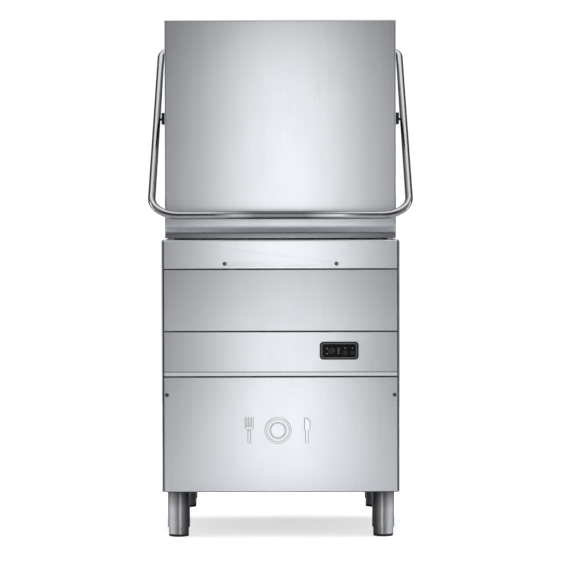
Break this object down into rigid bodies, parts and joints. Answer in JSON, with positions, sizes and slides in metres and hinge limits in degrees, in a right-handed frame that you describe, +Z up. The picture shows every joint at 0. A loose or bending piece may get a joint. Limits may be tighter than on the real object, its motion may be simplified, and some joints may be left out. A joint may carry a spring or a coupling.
{
  "type": "commercial hood dishwasher",
  "caption": "Pass-through hood dishwasher: a box hood lifted by a bent tube handle over a deck, with a tank, spray arms, front panels, key field and round feet.",
  "frame": {"origin": "on the floor, at the centre of the machine's footprint with the hood closed", "axes": "+X to the right seen from the front, +Y from front to rear, +Z up"},
  "size_m": [0.746, 0.75, 1.443],
  "materials": {
    "brushed_sheet": "brushed, vertical grain",
    "frame_steel": "plain rolled steel",
    "polished_tube": "polished",
    "foot_steel": "satin tube",
    "sole_rubber": "matt black",
    "bezel_plastic": "fine grain",
    "display_film": "gloss black",
    "button_film": "satin",
    "lamp_lens": "clear white",
    "screw_steel": "turned",
    "grey_plastic": "moulded",
    "pump_plastic": "moulded, glass filled",
    "motor_alloy": "cast and painted",
    "valve_brass": "machined",
    "gland_plastic": "moulded",
    "glide_plastic": "machined",
    "spring_steel": "oiled wire",
    "heater_steel": "heat stained"
  },
  "bodies": {
    "root": {"base_frame": "frame_steel", "corner_posts": "frame_steel", "foot_tubes": "foot_steel", "left_side_panel": "brushed_sheet", "right_side_panel": "brushed_sheet", "rear_panel": "brushed_sheet", "front_fascia": "brushed_sheet", "mid_panel": "brushed_sheet", "control_panel": "brushed_sheet", "lower_panel": "brushed_sheet", "panel_screws": "screw_steel", "control_bezel": "bezel_plastic", "display_window": "display_film", "indicator_lights": "lamp_lens", "control_box": "grey_plastic", "wash_tank": "brushed_sheet", "top_deck": "brushed_sheet", "rack_guide": "brushed_sheet", "filter_trays": "brushed_sheet", "sump_basket": "brushed_sheet", "overflow_pipe": "grey_plastic", "tank_heater": "heater_steel", "rear_wall": "brushed_sheet", "wash_manifold": "brushed_sheet", "arm_spindles": "frame_steel", "guide_columns": "frame_steel", "pivot_bearings": "frame_steel", "rear_cover": "brushed_sheet", "hood_buffers": "sole_rubber", "pump_casing": "pump_plastic", "pump_motor": "motor_alloy", "suction_pipe": "grey_plastic", "boiler": "brushed_sheet", "inlet_valve": "valve_brass", "drain_spigot": "grey_plastic", "cable_gland": "gland_plastic", "balance_springs": "spring_steel"},
    "hood": {"hood_shell": "brushed_sheet", "hood_guides": "pump_plastic", "hood_carriage": "frame_steel", "hood_glides": "glide_plastic"},
    "handle": {"handle_tube": "polished_tube", "lift_pins": "frame_steel", "balance_levers": "frame_steel"},
    "lower_wash": {"lower_wash_arm": "brushed_sheet"},
    "lower_rinse": {"lower_rinse_arm": "brushed_sheet"},
    "upper_wash": {"upper_wash_arm": "brushed_sheet"},
    "upper_rinse": {"upper_rinse_arm": "brushed_sheet"},
    "rotor": {"pump_rotor": "frame_steel"},
    "power_key": {"power_button": "button_film"},
    "cycle_key": {"cycle_button": "button_film"},
    "drain_key": {"drain_button": "button_film"},
    "foot_fl": {"foot_sleeve_fl": "foot_steel", "foot_sole_fl": "sole_rubber"},
    "foot_fr": {"foot_sleeve_fr": "foot_steel", "foot_sole_fr": "sole_rubber"},
    "foot_rl": {"foot_sleeve_rl": "foot_steel", "foot_sole_rl": "sole_rubber"},
    "foot_rr": {"foot_sleeve_rr": "foot_steel", "foot_sole_rr": "sole_rubber"}
  },
  "joints": [
    {"name": "hood_lift", "type": "slide", "parent": "root", "child": "hood", "axis": [0, 0, 1], "range_m": [0, 0.4362], "stiffness_N_per_m": 100, "springref_m": 1.9},
    {"name": "handle_swing", "type": "hinge", "parent": "root", "child": "handle", "pos_m": [0, 0.3, 1.392], "axis": [-1, 0, 0], "range_deg": [0, 76.98], "deforming": ["balance_springs"]},
    {"name": "lower_wash_spin", "type": "hinge", "parent": "root", "child": "lower_wash", "pos_m": [0, -0.026, 0.81], "axis": [0, 0, 1], "continuous": true},
    {"name": "lower_rinse_spin", "type": "hinge", "parent": "root", "child": "lower_rinse", "pos_m": [0, -0.026, 0.81], "axis": [0, 0, 1], "continuous": true},
    {"name": "upper_wash_spin", "type": "hinge", "parent": "root", "child": "upper_wash", "pos_m": [0, -0.026, 1.32], "axis": [0, 0, 1], "continuous": true},
    {"name": "upper_rinse_spin", "type": "hinge", "parent": "root", "child": "upper_rinse", "pos_m": [0, -0.026, 1.32], "axis": [0, 0, 1], "continuous": true},
    {"name": "pump_spin", "type": "hinge", "parent": "root", "child": "rotor", "pos_m": [0, 0.12, 0.39], "axis": [1, 0, 0], "continuous": true},
    {"name": "power_press", "type": "slide", "parent": "root", "child": "power_key", "axis": [0, 1, 0], "range_m": [0, 0.0015], "stiffness_N_per_m": 1200, "springref_m": -0.001},
    {"name": "cycle_press", "type": "slide", "parent": "root", "child": "cycle_key", "axis": [0, 1, 0], "range_m": [0, 0.0015], "stiffness_N_per_m": 1200, "springref_m": -0.001},
    {"name": "drain_press", "type": "slide", "parent": "root", "child": "drain_key", "axis": [0, 1, 0], "range_m": [0, 0.0015], "stiffness_N_per_m": 1200, "springref_m": -0.001},
    {"name": "foot_adjust_fl", "type": "slide", "parent": "root", "child": "foot_fl", "axis": [0, 0, -1], "range_m": [-0.01, 0.025]},
    {"name": "foot_adjust_fr", "type": "slide", "parent": "root", "child": "foot_fr", "axis": [0, 0, -1], "range_m": [-0.01, 0.025]},
    {"name": "foot_adjust_rl", "type": "slide", "parent": "root", "child": "foot_rl", "axis": [0, 0, -1], "range_m": [-0.01, 0.025]},
    {"name": "foot_adjust_rr", "type": "slide", "parent": "root", "child": "foot_rr", "axis": [0, 0, -1], "range_m": [-0.01, 0.025]}
  ],
  "couplings": [
    {"joint": "handle_swing", "follows": "hood_lift", "rad_per_m": 3.0639}
  ]
}
